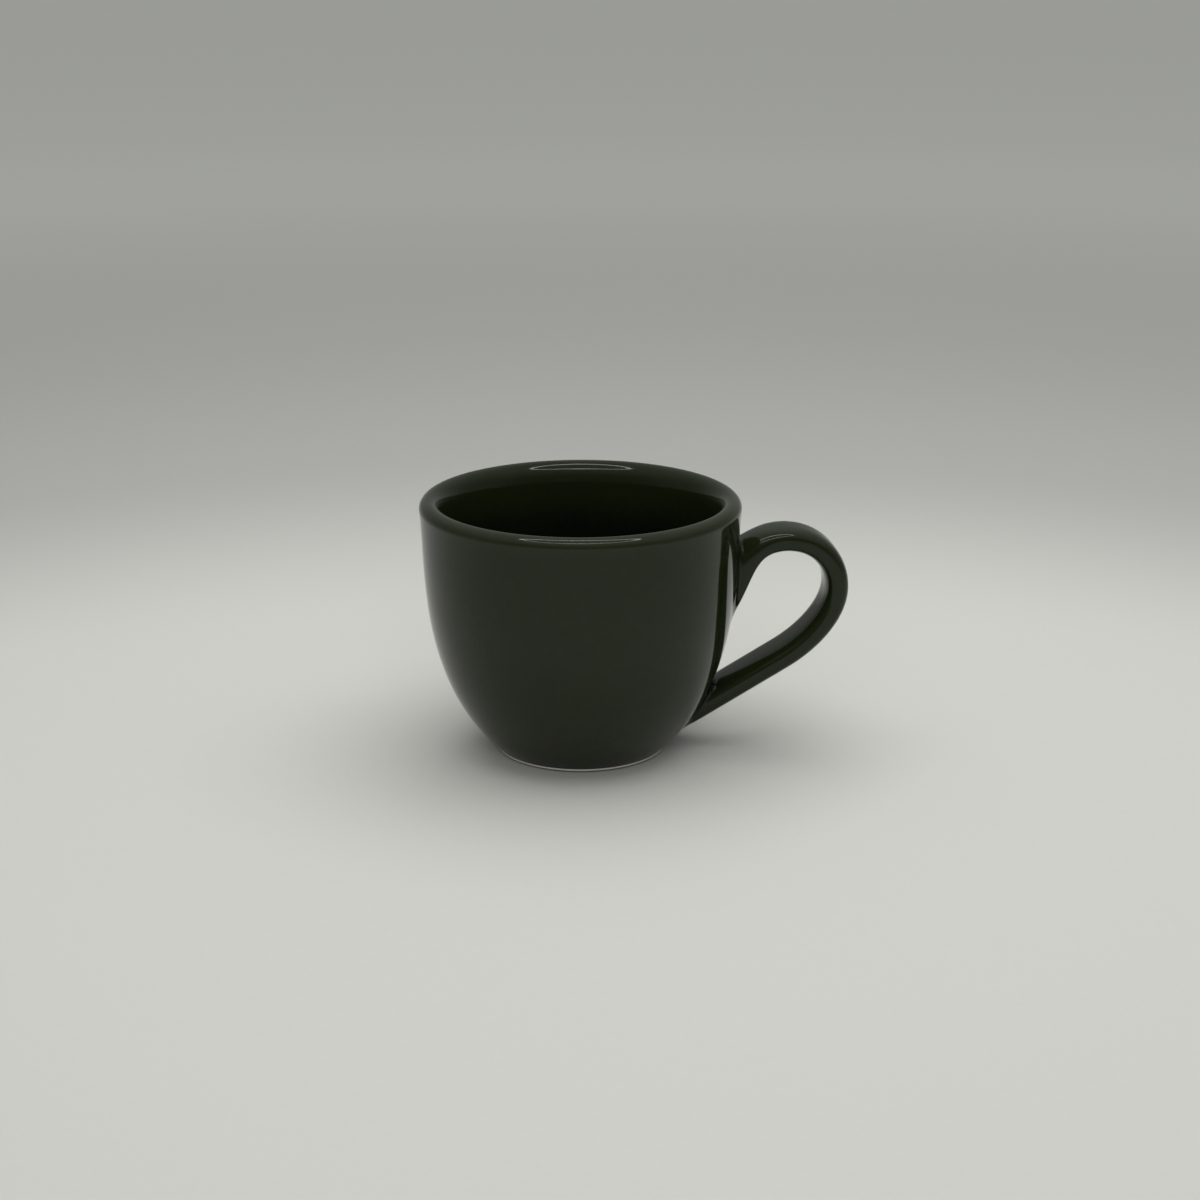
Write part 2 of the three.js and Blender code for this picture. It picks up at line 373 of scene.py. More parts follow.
def bowl_tree(lathe):
    bench, given, result = new_tree("bowl", "GeometryNodeTree", {
        "Axis X": LENGTH, "Segments": COUNT, "Material": STUFF, "Rim Radius": LENGTH,
        "Height": LENGTH, "Wall": LENGTH, "Foot Radius": LENGTH, "Glaze Line": LENGTH,
        "Glaze Bead": LENGTH, "Wall Rise": LENGTH, "Foot Pull": LENGTH, "Lip Lean": LENGTH,
        "Lip Pull": LENGTH, "Lip Roll": LENGTH, "Lip Wall": LENGTH,
        "Floor Level": LENGTH, "Floor Rounding": LENGTH,
        "Recess Height": LENGTH, "Recess Radius": LENGTH, "Recess Rounding": LENGTH,
    }, {"Piece": SHAPE})
    half = given["Wall"] / 2
    rise = given["Wall Rise"]
    lean = given["Lip Lean"]
    foot, line = given["Foot Radius"], given["Glaze Line"]
    lip_radius = given["Rim Radius"] - half
    lip_height = given["Height"] - half
    side_radius = lip_radius + half * lean.cos()
    side_height = lip_height - half * lean.sin()
    bead = given["Glaze Bead"]
    bead_radius = foot - bead * rise.sin()
    bead_height = line + bead * rise.cos()
    seat = bead_height - bead
    recess, recess_edge = given["Recess Height"], given["Recess Radius"]
    rounding = given["Recess Rounding"]

    wall = bench.put("GeometryNodeCurvePrimitiveBezierSegment", {
        "Resolution": curve_resolution, "Start": bench.spot(foot, line),
        "Start Handle": bench.spot(foot + given["Foot Pull"] * rise.cos(),
                                   line + given["Foot Pull"] * rise.sin()),
        "End Handle": bench.spot(side_radius - given["Lip Pull"] * lean.sin(),
                                 side_height - given["Lip Pull"] * lean.cos()),
        "End": bench.spot(side_radius, side_height)}).outputs["Curve"]

    outside = Profile(bench)
    outside.line(bench.spot(0.0, recess), bench.spot(recess_edge - rounding, recess),
                 recess_steps, recess_glaze)
    outside.bend(bench.spot(recess_edge - rounding, recess), bench.spot(recess_edge, recess),
                 bench.spot(recess_edge, seat), recess_corner_steps, recess_corner_glaze)
    outside.line(bench.spot(recess_edge, seat), bench.spot(bead_radius, seat), seat_steps, seat_glaze)
    outside.arc(bead_radius, bead_height, bead, -math.pi / 2, rise, bead_steps, bead_glaze)
    # The outer wall runs lighter towards the foot: thinner glaze, and painted light from the pale floor
    share_up = Amount(bench, bench.put("GeometryNodeSplineParameter").outputs["Factor"])
    thicker_and_less_floor_lit = eased_share(share_up, 0.0, thin_glaze_and_floor_light_to)
    outside.add(wall, wall_steps, thicker_and_less_floor_lit * (wall_glaze - foot_glaze_and_floor_light) + foot_glaze_and_floor_light)
    outside.arc(lip_radius, lip_height, half, lean * -1.0, lean + math.pi / 2, lip_steps, lip_glaze)

    # Inner face: the outer one set back by the wall, run out straight under the floor's level, and
    # all of it then raised smoothly to the floor
    tangent = bench.put("ShaderNodeSeparateXYZ", {
        "Vector": bench.put("GeometryNodeInputTangent").outputs["Tangent"]})
    across = Amount(bench, tangent.outputs["X"])
    along = Amount(bench, tangent.outputs["Z"])
    back = given["Wall"]
    length = Amount(bench, bench.put("GeometryNodeCurveLength", {"Curve": wall}).outputs["Length"])
    down = bench.put("GeometryNodeReverseCurve", {"Curve": wall}).outputs["Curve"]
    below_roll = bench.put("GeometryNodeTrimCurve", {
        "Curve": down, "Start": given["Lip Roll"] / length}, mode="FACTOR").outputs["Curve"]
    share_down = Amount(bench, bench.put("GeometryNodeSplineParameter").outputs["Factor"])
    # The inner wall darkens from below the roll downwards: pooled glaze and painted shade
    pooled_and_shaded_share = eased_share(share_down, 0.0, deep_pool_and_shade_from)
    thinner = eased_share(share_down, 0.0, even_wall_from)
    set_back = given["Lip Wall"] + (back - given["Lip Wall"]) * thinner
    inside = Profile(bench)
    inside.add(below_roll, wall_steps, pooled_and_shaded_share * (pooled_and_shaded_glaze - wall_glaze) + wall_glaze,
               bench.spot(along * set_back, across * set_back * -1.0))

    # The lip rolls over to the inner face, softer than to the outer one
    first, second = (profile_spot(bench, inside.stretches[0], index) for index in (0, 1))
    upward = bench.put("ShaderNodeVectorMath", {0: first, 1: second}, operation="SUBTRACT")
    upward = bench.put("ShaderNodeVectorMath", {0: upward.outputs["Vector"]}, operation="NORMALIZE")
    first_parts = bench.put("ShaderNodeSeparateXYZ", {"Vector": first})
    width = lip_radius - Amount(bench, first_parts.outputs["X"])
    drop = given["Height"] - Amount(bench, first_parts.outputs["Z"])
    end_handle = bench.put("ShaderNodeVectorMath", {
        0: upward.outputs["Vector"], "Scale": drop * round_pull}, operation="SCALE")
    end_handle = bench.put("ShaderNodeVectorMath", {0: first, 1: end_handle.outputs["Vector"]},
                           operation="ADD")
    roll = bench.put("GeometryNodeCurvePrimitiveBezierSegment", {
        "Resolution": roll_resolution, "Start": bench.spot(lip_radius, given["Height"]),
        "Start Handle": bench.spot(lip_radius - width * round_pull, given["Height"]),
        "End Handle": end_handle.outputs["Vector"], "End": first}).outputs["Curve"]
    outside.add(roll, roll_steps, roll_glaze)
    end_radius = foot - back * rise.sin()
    end_height = line + back * rise.cos()
    low_radius = end_radius / 2
    low_height = end_height - (end_radius - low_radius) * rise.sin() / rise.cos()
    low_spot = bench.spot(low_radius, low_height)
    inside.line(bench.spot(end_radius, end_height), low_spot, slant_steps, pooled_and_shaded_glaze)
    inside.line(low_spot, bench.spot(0.0, low_height), floor_steps, pooled_and_shaded_glaze)
    place = bench.put("ShaderNodeSeparateXYZ", {
        "Vector": bench.put("GeometryNodeInputPosition").outputs["Position"]})
    level = Amount(bench, place.outputs["Z"]).reckon(
        "SMOOTH_MAX", given["Floor Level"], given["Floor Rounding"])
    floored = bench.put("GeometryNodeSetPosition", {
        "Geometry": inside.joined(), "Position": bench.spot(place.outputs["X"], level)})
    outside.stretches.append(floored.outputs["Geometry"])
    turned_on(bench, lathe, outside.joined(), given, result, bowl_softening)
    return bench.tree


def foot_ring_tree(lathe):
    bench, given, result = new_tree("foot ring", "GeometryNodeTree", {
        "Axis X": LENGTH, "Segments": COUNT, "Material": STUFF, "Outer Radius": LENGTH,
        "Inner Radius": LENGTH, "Top": LENGTH, "Edge": LENGTH, "Undercut": LENGTH},
        {"Piece": SHAPE})
    outer, inner = given["Outer Radius"], given["Inner Radius"]
    top, edge, undercut = given["Top"], given["Edge"], given["Undercut"]
    ring = Profile(bench)
    ring.line(bench.spot(inner, top), bench.spot(inner, edge), ring_side_steps, no_glaze)
    ring.bend(bench.spot(inner, edge), bench.spot(inner, 0.0), bench.spot(inner + edge, 0.0),
              ring_edge_steps, no_glaze)
    ring.line(bench.spot(inner + edge, 0.0), bench.spot(outer - undercut, 0.0),
              ring_stand_steps, no_glaze)
    ring.bend(bench.spot(outer - undercut, 0.0), bench.spot(outer, 0.0), bench.spot(outer, edge),
              undercut_steps, no_glaze)
    ring.line(bench.spot(outer, edge), bench.spot(outer, top), ring_side_steps, no_glaze)
    ring.line(bench.spot(outer, top), bench.spot(inner, top), ring_top_steps, no_glaze)
    turned_on(bench, lathe, ring.joined(), given, result, ring_softening)
    return bench.tree


def made_by(tree, name, sizes):
    """Runs a geometry tree with its sizes and keeps the result as a plain mesh."""
    piece = bpy.data.objects.new(name, bpy.data.meshes.new(name))
    bpy.context.scene.collection.objects.link(piece)
    modifier = piece.modifiers.new(name, "NODES")
    modifier.node_group = tree
    for item in tree.interface.items_tree:
        if item.name in sizes:
            modifier[item.identifier] = sizes[item.name]
    depsgraph = bpy.context.evaluated_depsgraph_get()
    plain = bpy.data.meshes.new_from_object(piece.evaluated_get(depsgraph))
    plain.name = name
    piece.modifiers.clear()
    piece.data = plain
    close_up(plain)
    return piece


def close_up(mesh):
    """Merges doubles and turns all faces outwards."""
    shape = bmesh.new()
    shape.from_mesh(mesh)
    bmesh.ops.remove_doubles(shape, verts=shape.verts, dist=weld_distance)
    bmesh.ops.recalc_face_normals(shape, faces=shape.faces)
    for face in shape.faces:
        face.smooth = True
    shape.to_mesh(mesh)
    shape.free()


# Handle and slip, in the plane through the cup's axis: every point is (distance to axis, height)

def heading(angle):
    return np.array([math.cos(angle), math.sin(angle)])


def bezier(a, b, c, d, share):
    t = np.asarray(share)[:, None]
    return a * (1 - t) ** 3 + 3 * b * t * (1 - t) ** 2 + 3 * c * t ** 2 * (1 - t) + d * t ** 3


def slopes(curve):
    run = np.gradient(curve, axis=0)
    return run / np.linalg.norm(run, axis=1, keepdims=True)


class Wall:
    """The outer face of the bowl's wall, as a curve that is turned about the axis."""

    def __init__(self):
        half = wall_thickness / 2
        lip = np.array([rim_radius - half, cup_height - half])
        side = lip + half * heading(-lip_lean)
        foot = np.array([foot_radius, glaze_line])
        share = np.linspace(0, 1, wall_samples)
        self.points = bezier(foot, foot + foot_pull * heading(wall_rise),
                             side - lip_pull * heading(math.pi / 2 - lip_lean), side, share)
        self.along = slopes(self.points)
        self.out = np.stack([self.along[:, 1], -self.along[:, 0]], axis=1)

    def at_height(self, height):
        return self.points[np.argmin(np.abs(self.points[:, 1] - height))]

    def nearest(self, spots):
        """For points in space: the points of the wall below them, its normals and the distances."""
        flat = np.stack([np.hypot(spots[:, 0], spots[:, 1]), spots[:, 2]], axis=1)
        found = np.array([np.argmin(((self.points - spot) ** 2).sum(axis=1)) for spot in flat])
        lead = flat - self.points[found]
        base = self.points[found] + self.along[found] * (lead * self.along[found]).sum(1)[:, None]
        distance = (lead * self.out[found]).sum(axis=1)
        side = spots[:, :2] / flat[:, :1]
        feet = np.column_stack([side * base[:, :1], base[:, 1]])
        normals = np.column_stack([side * self.out[found][:, :1], self.out[found][:, 1]])
        return feet, normals, distance


def strap_edges(wall):
    """The outer and the inner edge of the strap, from inside the wall over the loop and back."""
    half = strap_thickness / 2
    share = np.linspace(0, 1, edge_samples)
    crest = np.array([crest_reach, crest_height - half])
    nose = np.array([nose_reach - half, nose_height])
    arm_heading = heading(arm_slope)
    join = wall.at_height(arm_join)
    arm_start = join + arm_length * arm_heading

    top_foot = wall.at_height(root_top)
    crest_top = crest + np.array([0, half])
    top_pull = (crest_top[0] - top_foot[0]) * root_top_fullness
    top = bezier(top_foot, top_foot + top_pull * heading(root_rise),
                 crest_top - [top_pull, 0], crest_top, share)
    flare_foot = wall.at_height(root_bottom)
    crest_under = crest - np.array([0, half])
    crest_pull = (crest_under[0] - flare_foot[0]) * root_under_fullness
    under = bezier(flare_foot, flare_foot + flare_pull * heading(flare_rise),
                   crest_under - [crest_pull, 0], crest_under, share)

    nose_span, crest_span = nose[0] - crest[0], crest[1] - nose[1]
    shoulder = bezier(crest, crest + [nose_span * shoulder_fullness, 0],
                      nose + [0, crest_span * shoulder_fullness], nose, share)
    return_pull = np.linalg.norm(nose - arm_start) * return_fullness
    turn_back = bezier(nose, nose - [0, return_pull], arm_start + return_pull * arm_heading,
                       arm_start, share)
    arm_end = join - arm_entry * arm_heading
    root_end = arm_end - root_depth * heading(arm_slope / 2)
    arm = arm_start + share[:, None] * (arm_end - arm_start)
    entry = arm_end + share[:, None] * (root_end - arm_end)
    middle = np.concatenate([shoulder, turn_back[1:], arm[1:], entry[1:]])
    middle = eased(even_run(middle, middle_samples))
    along = slopes(middle)
    outwards = np.stack([-along[:, 1], along[:, 0]], axis=1)

    inwards = np.linspace(root_depth, 0, root_samples, endpoint=False)[:, None]
    outer = np.concatenate([top_foot - inwards * heading(root_rise), top[:-1],
                            middle + half * outwards])
    inner = np.concatenate([flare_foot - inwards * heading(flare_rise), under[:-1],
                            middle - half * outwards])
    return outer, inner


def even_run(curve, count):
    step = np.concatenate([[0], np.cumsum(np.linalg.norm(np.diff(curve, axis=0), axis=1))])
    spots = np.linspace(0, step[-1], count)
    return np.column_stack([np.interp(spots, step, curve[:, axis]) for axis in range(curve.shape[1])])


def eased(curve):
    """Softens the changes of curvature along an evenly stepped curve, keeping its two ends."""
    pitch = np.linalg.norm(curve[1] - curve[0])
    reach = int(easing_reach * strap_easing / pitch)
    weights = np.exp(-0.5 * (np.arange(-reach, reach + 1) * pitch / strap_easing) ** 2)
    weights /= weights.sum()
    before = 2 * curve[0] - curve[reach:0:-1]
    after = 2 * curve[-1] - curve[-2:-reach - 2:-1]
    longer = np.concatenate([before, curve, after])
    return np.column_stack([np.convolve(longer[:, axis], weights, "valid") for axis in range(2)])


def oval_section():
    """Points round the strap's section, evenly spaced: share towards the outer face, and sideways."""
    angle = np.linspace(0, math.tau, section_samples)
    power = 2 / strap_squareness
    outer = np.sign(np.cos(angle)) * np.abs(np.cos(angle)) ** power
    side = np.sign(np.sin(angle)) * np.abs(np.sin(angle)) ** power
    ring = np.column_stack([outer * strap_thickness / 2, side * strap_width / 2])
    ring = even_run(ring, strap_columns + 1)[:-1]
    return ring[:, 0] / (strap_thickness / 2), ring[:, 1] / (strap_width / 2)


class Strap:
    """The handle's surface: generating lines from wall to wall, one for each point of the section."""

    def __init__(self, wall):
        self.wall = wall
        outer, inner = strap_edges(wall)
        middle = (outer + inner) / 2
        across = (outer - inner) / 2
        self.share, self.side = oval_section()
        lines = np.zeros((strap_columns, len(middle), 3))
        lines[:, :, 0] = middle[:, 0] + self.share[:, None] * across[:, 0]
        lines[:, :, 1] = self.side[:, None] * strap_width / 2
        lines[:, :, 2] = middle[:, 1] + self.share[:, None] * across[:, 1]
        self.lines = lines
        pitch = np.linalg.norm(np.diff(lines, axis=1), axis=2)
        self.length = np.concatenate([np.zeros((strap_columns, 1)), np.cumsum(pitch, axis=1)], axis=1)

    def spots(self, lengths):
        """The points of all generating lines at their own lengths."""
        result = np.zeros((strap_columns, 3))
        for column in range(strap_columns):
            for axis in range(3):
                result[column, axis] = np.interp(lengths[column], self.length[column],
                                                 self.lines[column, :, axis])
        return result

    def reach_wall(self, first, last):
        """The length at which each generating line meets the wall, between two stations."""
        meets = np.zeros(strap_columns)
        for column in range(strap_columns):
            _, _, distance = self.wall.nearest(self.lines[column, first:last])
            lengths = self.length[column, first:last]
            if distance[0] > distance[-1]:
                distance, lengths = distance[::-1], lengths[::-1]
            last_inside = np.nonzero(distance < 0)[0][-1]
            pair = slice(last_inside, last_inside + 2)
            meets[column] = np.interp(0, distance[pair], lengths[pair])
        return meets

    def smoothing(self, sizes):
        """Length of the slip's smoothing, round the section."""
        over = np.clip(self.share, 0, 1) ** 2
        under = np.clip(-self.share, 0, 1) ** 2
        return (sizes["flank"] + over * (sizes["over"] - sizes["flank"])
                + under * (sizes["under"] - sizes["flank"]))


def slip_rings(strap, meets, inwards, sizes):
    """Rings of the slip from the strap down to the wall, tangent to both; inwards is the sign of the
    direction along the generating lines that runs into the wall."""
    reach = strap.smoothing(sizes)
    root = strap.spots(meets)
    feet, normals, _ = strap.wall.nearest(root)
    run = np.roll(feet, -1, axis=0) - np.roll(feet, 1, axis=0)
    away = np.cross(run, normals)
    away /= np.linalg.norm(away, axis=1, keepdims=True)
    centre = feet.mean(axis=0)
    if ((feet - centre) * away).sum() < 0:
        away = -away
    rings = []
    for row in range(slip_rows + 1):
        angle = math.pi / 2 * row / slip_rows
        spots = strap.spots(meets - inwards * reach * (1 - math.sin(angle)))
        base, _, distance = strap.wall.nearest(spots)
        moved = base + away * (reach * (1 - math.cos(angle)))[:, None]
        base, normals, _ = strap.wall.nearest(moved)
        rings.append(base + normals * distance[:, None])
    rings[-1] = base
    return rings, normals, reach


def strap_pieces(wall):
    """The strap, the rows of its bare part, the rings of slip at its two ends with the wall's normals
    there, and the lengths at which it meets the wall."""
    strap = Strap(wall)
    stations = strap.lines.shape[1]
    upper = strap.reach_wall(0, stations // 4)
    lower = strap.reach_wall(stations * 3 // 5, stations)
    upper_rings, upper_normals, upper_reach = slip_rings(strap, upper, -1, upper_slip)
    lower_rings, lower_normals, lower_reach = slip_rings(strap, lower, 1, lower_slip)
    start, end = upper + upper_reach, lower - lower_reach
    rows = []
    for row in range(strap_rows + 1):
        share = row / strap_rows
        rows.append(strap.spots(start + (end - start) * share))
    return strap, upper_rings, rows, lower_rings, upper_normals, lower_normals, upper, lower


def ring_faces(rows, columns, closed):
    faces = []
    for row in range(rows if closed else rows - 1):
        for column in range(columns):
            following = (column + 1) % columns
            below = (row + 1) % rows
            faces.append((row * columns + column, row * columns + following,
                          below * columns + following, below * columns + column))
    return faces


def grid_normals(grid):
    """Outward normals of a grid of rings, by central differences."""
    down = np.gradient(grid, axis=0)
    round_ = np.roll(grid, -1, axis=1) - np.roll(grid, 1, axis=1)
    normals = np.cross(down, round_)
    normals /= np.linalg.norm(normals, axis=2, keepdims=True)
    centres = grid.mean(axis=1, keepdims=True)
    if ((grid - centres) * normals).sum() < 0:
        normals = -normals
    return normals


def ring_piece(name, rings, normals, depth, closed, material):
    """A piece from rings of points, with its own shading normals and the depth of its glaze."""
    spots = np.concatenate(rings) + [axis_x, 0, 0]
    faces = ring_faces(len(rings), strap_columns, closed)
    if not closed:
        last = (len(rings) - 1) * strap_columns
        faces.append(tuple(range(strap_columns - 1, -1, -1)))
        faces.append(tuple(range(last, last + strap_columns)))
    mesh = bpy.data.meshes.new(name)
    mesh.from_pydata(spots.tolist(), [], faces)
    shape = bmesh.new()
    shape.from_mesh(mesh)
    bmesh.ops.recalc_face_normals(shape, faces=shape.faces)
    for face in shape.faces:
        face.smooth = True
    shape.to_mesh(mesh)
    shape.free()
    mesh.materials.append(material)
    attribute = mesh.attributes.new("glaze_depth", "FLOAT", "POINT")
    attribute.data.foreach_set("value", np.concatenate(depth).astype(np.float32))
    mesh.normals_split_custom_set_from_vertices(np.concatenate(normals).tolist())
    piece = bpy.data.objects.new(name, mesh)
    bpy.context.scene.collection.objects.link(piece)
    return piece


def handle_pieces(glaze, slip_glaze):
    wall = Wall()
    (strap, upper_rings, rows, lower_rings, upper_normals, lower_normals,
     upper, lower) = strap_pieces(wall)
    visible = np.array(upper_rings[:0:-1] + rows + lower_rings[1:])
    normals = grid_normals(visible)
    normals[0] = upper_normals
    normals[-1] = lower_normals
    first, last = slip_rows, slip_rows + strap_rows

    # Glaze runs thin over the strap's edges and gathers in the slip's hollows
    turn = np.linalg.norm(np.roll(normals, -1, axis=1) - np.roll(normals, 1, axis=1), axis=2)
    pitch = np.linalg.norm(np.roll(visible, -1, axis=1) - np.roll(visible, 1, axis=1), axis=2)
    bend = np.clip((turn / pitch * MM - thins_from_bend) / thins_over_bends, 0, 1)
    depth = wall_glaze - edge_thinning * bend
    hollow = np.sin(np.linspace(0, math.pi, slip_rows + 1))
    depth[:first + 1] += hollow_gathering * hollow[:, None]
    depth[last:] += hollow_gathering * hollow[:, None]

    def inner(ring):
        centre = ring.mean(axis=0)
        return centre + (ring - centre) * slip_hidden_share

    body = [strap.spots(upper - strap_sunk), *visible[first:last + 1],
            strap.spots(lower + strap_sunk)]
    body_normals = [normals[first]] + list(normals[first:last + 1]) + [normals[last]]
    body_depth = [depth[first]] + list(depth[first:last + 1]) + [depth[last]]
    handle = ring_piece("handle_strap", body, body_normals, body_depth, False, glaze)

    def bead(name, rings, ring_normals, ring_depth, meets):
        under = rings[-1] - ring_normals[-1] * slip_sunk
        hidden = [under, inner(strap.spots(meets)), inner(rings[0])]
        all_rings = list(rings) + hidden
        all_normals = list(ring_normals) + [ring_normals[-1], ring_normals[0], ring_normals[0]]
        all_depth = list(ring_depth) + [ring_depth[-1], ring_depth[0], ring_depth[0]]
        return ring_piece(name, all_rings, all_normals, all_depth, True, slip_glaze)

    upper_bead = bead("upper_slip_bead", visible[first::-1], normals[first::-1], depth[first::-1],
                      upper)
    lower_bead = bead("lower_slip_bead", visible[last:], normals[last:], depth[last:], lower)
    return handle, upper_bead, lower_bead


# Finishes

glaze_cloud = 22 * MM
glaze_fine = 1.6 * MM
glaze_peel = 1.1 * MM
glaze_wave = 13 * MM
glaze_breath = 9 * MM
breath_on_gloss = 0.04
pit_spacing = 5.5 * MM
pit_radius = 0.035  # as a share of the spacing
pit_on_gloss = 0.2
smoothest_gloss = 0.02
glaze_bend_of_light = 1.5
glaze_shine = 0.27

clay_grain = 0.35 * MM
clay_cloud = 4 * MM
clay_grey = (0.62, 0.612, 0.565, 1)
clay_pale = (0.74, 0.732, 0.685, 1)
clay_speck = (0.30, 0.28, 0.24, 1)
speck_from = 0.62
speck_sharpness = 8.0
speck_share = 0.5
clay_grain_height = 0.03 * MM
clay_roughness = 0.75
clay_grain_on_roughness = 0.2


def new_material(name):
    material = bpy.data.materials.new(name)
    material.use_nodes = True
    bench = Bench(material.node_tree)
    shader = material.node_tree.nodes["Principled BSDF"]
    return material, bench, shader


def glaze_group():
    """Fired glaze: its colour by depth with a faint mottle, its gloss, and its skin with small pits."""
    bench, given, result = new_tree("fired glaze", "ShaderNodeTree", {
        "Place": PLACE, "Depth": LENGTH, "Thin Colour": COLOUR, "Body Colour": COLOUR,
        "Pooled And Shaded Colour": COLOUR, "Mottle": LENGTH, "Gloss Roughness": LENGTH,
        "Peel Height": LENGTH, "Wave Height": LENGTH, "Pit Depth": LENGTH,
    }, {"Colour": COLOUR, "Roughness": LENGTH, "Height": LENGTH})
    place = given["Place"]

    def noise(size, detail, offset):
        moved = bench.put("ShaderNodeVectorMath", {0: place, 1: offset}, operation="ADD")
        node = bench.put("ShaderNodeTexNoise", {
            "Vector": moved.outputs["Vector"], "Scale": 1 / size, "Detail": detail, "Roughness": 0.5})
        return Amount(bench, node.outputs["Fac"])

    cloud = noise(glaze_cloud, 3.0, (0.31, 0.12, 0.07))
    fine = noise(glaze_fine, 2.0, (0.02, 0.44, 0.19))
    depth = given["Depth"] + (cloud - 0.5) * given["Mottle"] + (fine - 0.5) * given["Mottle"]
    low = bench.put("ShaderNodeMix", {
        "Factor": (depth * 2.0).reckon("MINIMUM", 1.0), 6: given["Thin Colour"],
        7: given["Body Colour"]}, data_type="RGBA")
    # The pooled colour is pooled glaze, and inside the cup it is also painted shade
    high = bench.put("ShaderNodeMix", {
        "Factor": ((depth - 0.5) * 2.0).reckon("MAXIMUM", 0.0), 6: low.outputs[2],
        7: given["Pooled And Shaded Colour"]}, data_type="RGBA")
    bench.wire(high.outputs[2], result.inputs["Colour"])

    specks = bench.put("ShaderNodeTexVoronoi", {"Vector": place, "Scale": 1 / pit_spacing})
    away = Amount(bench, specks.outputs["Distance"])
    pit = (away * -1.0 + pit_radius).reckon("MAXIMUM", 0.0) * (1 / pit_radius)
    peel = noise(glaze_peel, 1.0, (0.5, 0.21, 0.33)) - 0.5
    wave = noise(glaze_wave, 1.0, (0.14, 0.05, 0.61)) - 0.5
    height = peel * given["Peel Height"] + wave * given["Wave Height"] - pit * given["Pit Depth"]
    bench.wire(height, result.inputs["Height"])

    breath = noise(glaze_breath, 4.0, (0.7, 0.3, 0.9)) - 0.5
    rough = given["Gloss Roughness"] + breath * breath_on_gloss + pit * pit_on_gloss
    bench.wire(rough.reckon("MAXIMUM", smoothest_gloss), result.inputs["Roughness"])
    return bench.tree


def glaze_material(name, group, looks):
    material, bench, shader = new_material(name)
    place = bench.put("ShaderNodeTexCoord").outputs["Object"]
    depth = bench.put("ShaderNodeAttribute", attribute_name="glaze_depth").outputs["Fac"]
    glaze = bench.put("ShaderNodeGroup")
    glaze.node_tree = group
    bench.wire(place, glaze.inputs["Place"])
    bench.wire(depth, glaze.inputs["Depth"])
    for label, value in looks.items():
        bench.wire(value, glaze.inputs[label])
    bump = bench.put("ShaderNodeBump", {"Height": glaze.outputs["Height"], "Distance": 1.0})
    bench.wire(glaze.outputs["Colour"], shader.inputs["Base Color"])
    bench.wire(glaze.outputs["Roughness"], shader.inputs["Roughness"])
    bench.wire(bump.outputs["Normal"], shader.inputs["Normal"])
    shader.inputs["IOR"].default_value = glaze_bend_of_light
    shader.inputs["Specular IOR Level"].default_value = glaze_shine
    return material


def bare_clay_material():
    material, bench, shader = new_material("bare stoneware clay")
    place = bench.put("ShaderNodeTexCoord").outputs["Object"]
    grain = bench.put("ShaderNodeTexNoise", {
        "Vector": place, "Scale": 1 / clay_grain, "Detail": 4.0})
    cloud = bench.put("ShaderNodeTexNoise", {
        "Vector": place, "Scale": 1 / clay_cloud, "Detail": 3.0})
    tone = bench.put("ShaderNodeMix", {
        "Factor": cloud.outputs["Fac"], 6: clay_grey, 7: clay_pale}, data_type="RGBA")
    specks = Amount(bench, grain.outputs["Fac"])
    dark = (specks - speck_from) * speck_sharpness
    dark = dark.reckon("MINIMUM", 1.0).reckon("MAXIMUM", 0.0)
    spotted = bench.put("ShaderNodeMix", {
        "Factor": dark * speck_share, 6: tone.outputs[2], 7: clay_speck}, data_type="RGBA")

    # Painted contact shade along the outer edge of the ring, low down where it stands on the table: a
    # dark band in the clay's colour
    flat = bench.put("ShaderNodeVectorMath", {0: place, 1: (axis_x, 0, 0)}, operation="SUBTRACT")
    flat = bench.put("ShaderNodeVectorMath", {0: flat.outputs["Vector"], 1: (1, 1, 0)},
                     operation="MULTIPLY")
    from_axis = bench.put("ShaderNodeVectorMath", {0: flat.outputs["Vector"]}, operation="LENGTH")
    height = bench.put("ShaderNodeSeparateXYZ", {"Vector": place})
    low = eased_share(Amount(bench, height.outputs["Z"]) * -1.0, -contact_shade_gone_above, -contact_shade_full_below)
    outside = eased_share(Amount(bench, from_axis.outputs["Value"]), contact_shade_gone_inside,
                          contact_shade_full_outside)
    contact_shaded = bench.put("ShaderNodeMix", {
        "Factor": low * outside * contact_shade_share, 6: spotted.outputs[2], 7: contact_shade_tone}, data_type="RGBA")

    bump = bench.put("ShaderNodeBump", {"Height": specks * clay_grain_height, "Distance": 1.0})
    bench.wire(contact_shaded.outputs[2], shader.inputs["Base Color"])
    bench.wire(specks * clay_grain_on_roughness + clay_roughness, shader.inputs["Roughness"])
    bench.wire(bump.outputs["Normal"], shader.inputs["Normal"])
    return material


